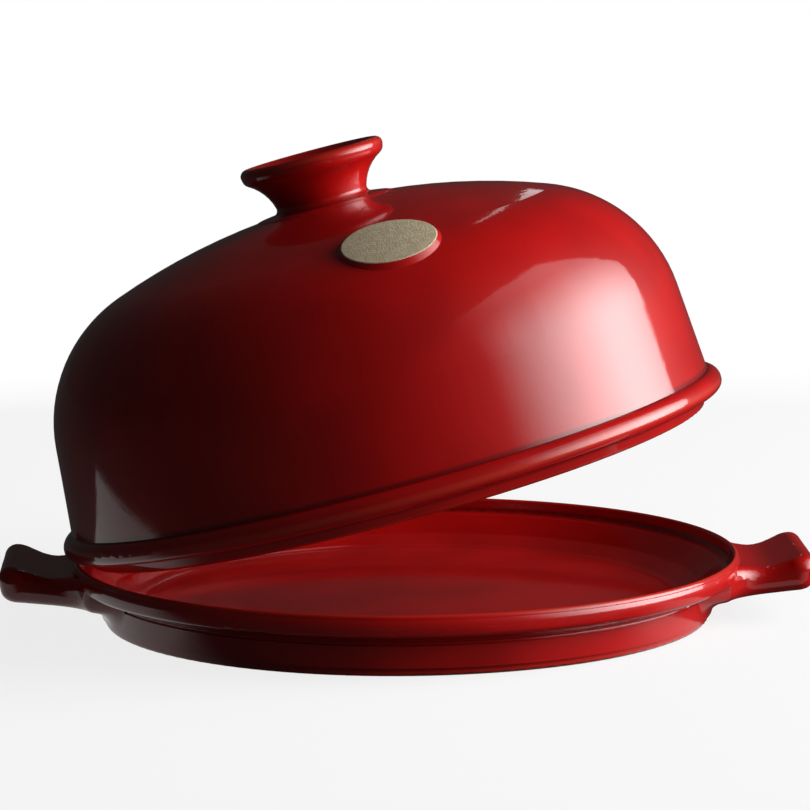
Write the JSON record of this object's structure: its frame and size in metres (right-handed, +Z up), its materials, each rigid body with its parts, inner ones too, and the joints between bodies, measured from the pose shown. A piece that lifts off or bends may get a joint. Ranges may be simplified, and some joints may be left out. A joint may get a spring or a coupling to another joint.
{
  "type": "bread cloche",
  "caption": "Glazed ceramic bread baking dome: a shallow round dish with two lug handles, and a domed lid with a flared knob that tips open on the dish's rim.",
  "frame": {"origin": "on the table under the middle of the dish", "axes": "+X out over the right-hand handle, -Y towards the cook, +Z up"},
  "size_m": [0.3392, 0.2837, 0.2015],
  "materials": {
    "red_glaze": "gloss"
  },
  "bodies": {
    "base": {"base_dish": "red_glaze"},
    "lid": {"lid": "red_glaze"}
  },
  "joints": [
    {"name": "lid_tilt", "type": "hinge", "parent": "base", "child": "lid", "pos_m": [-0.13595, 0.02643, 0.0257], "axis": [-0.1908, -0.9816, 0], "range_deg": [-14.5, 49.5]}
  ]
}
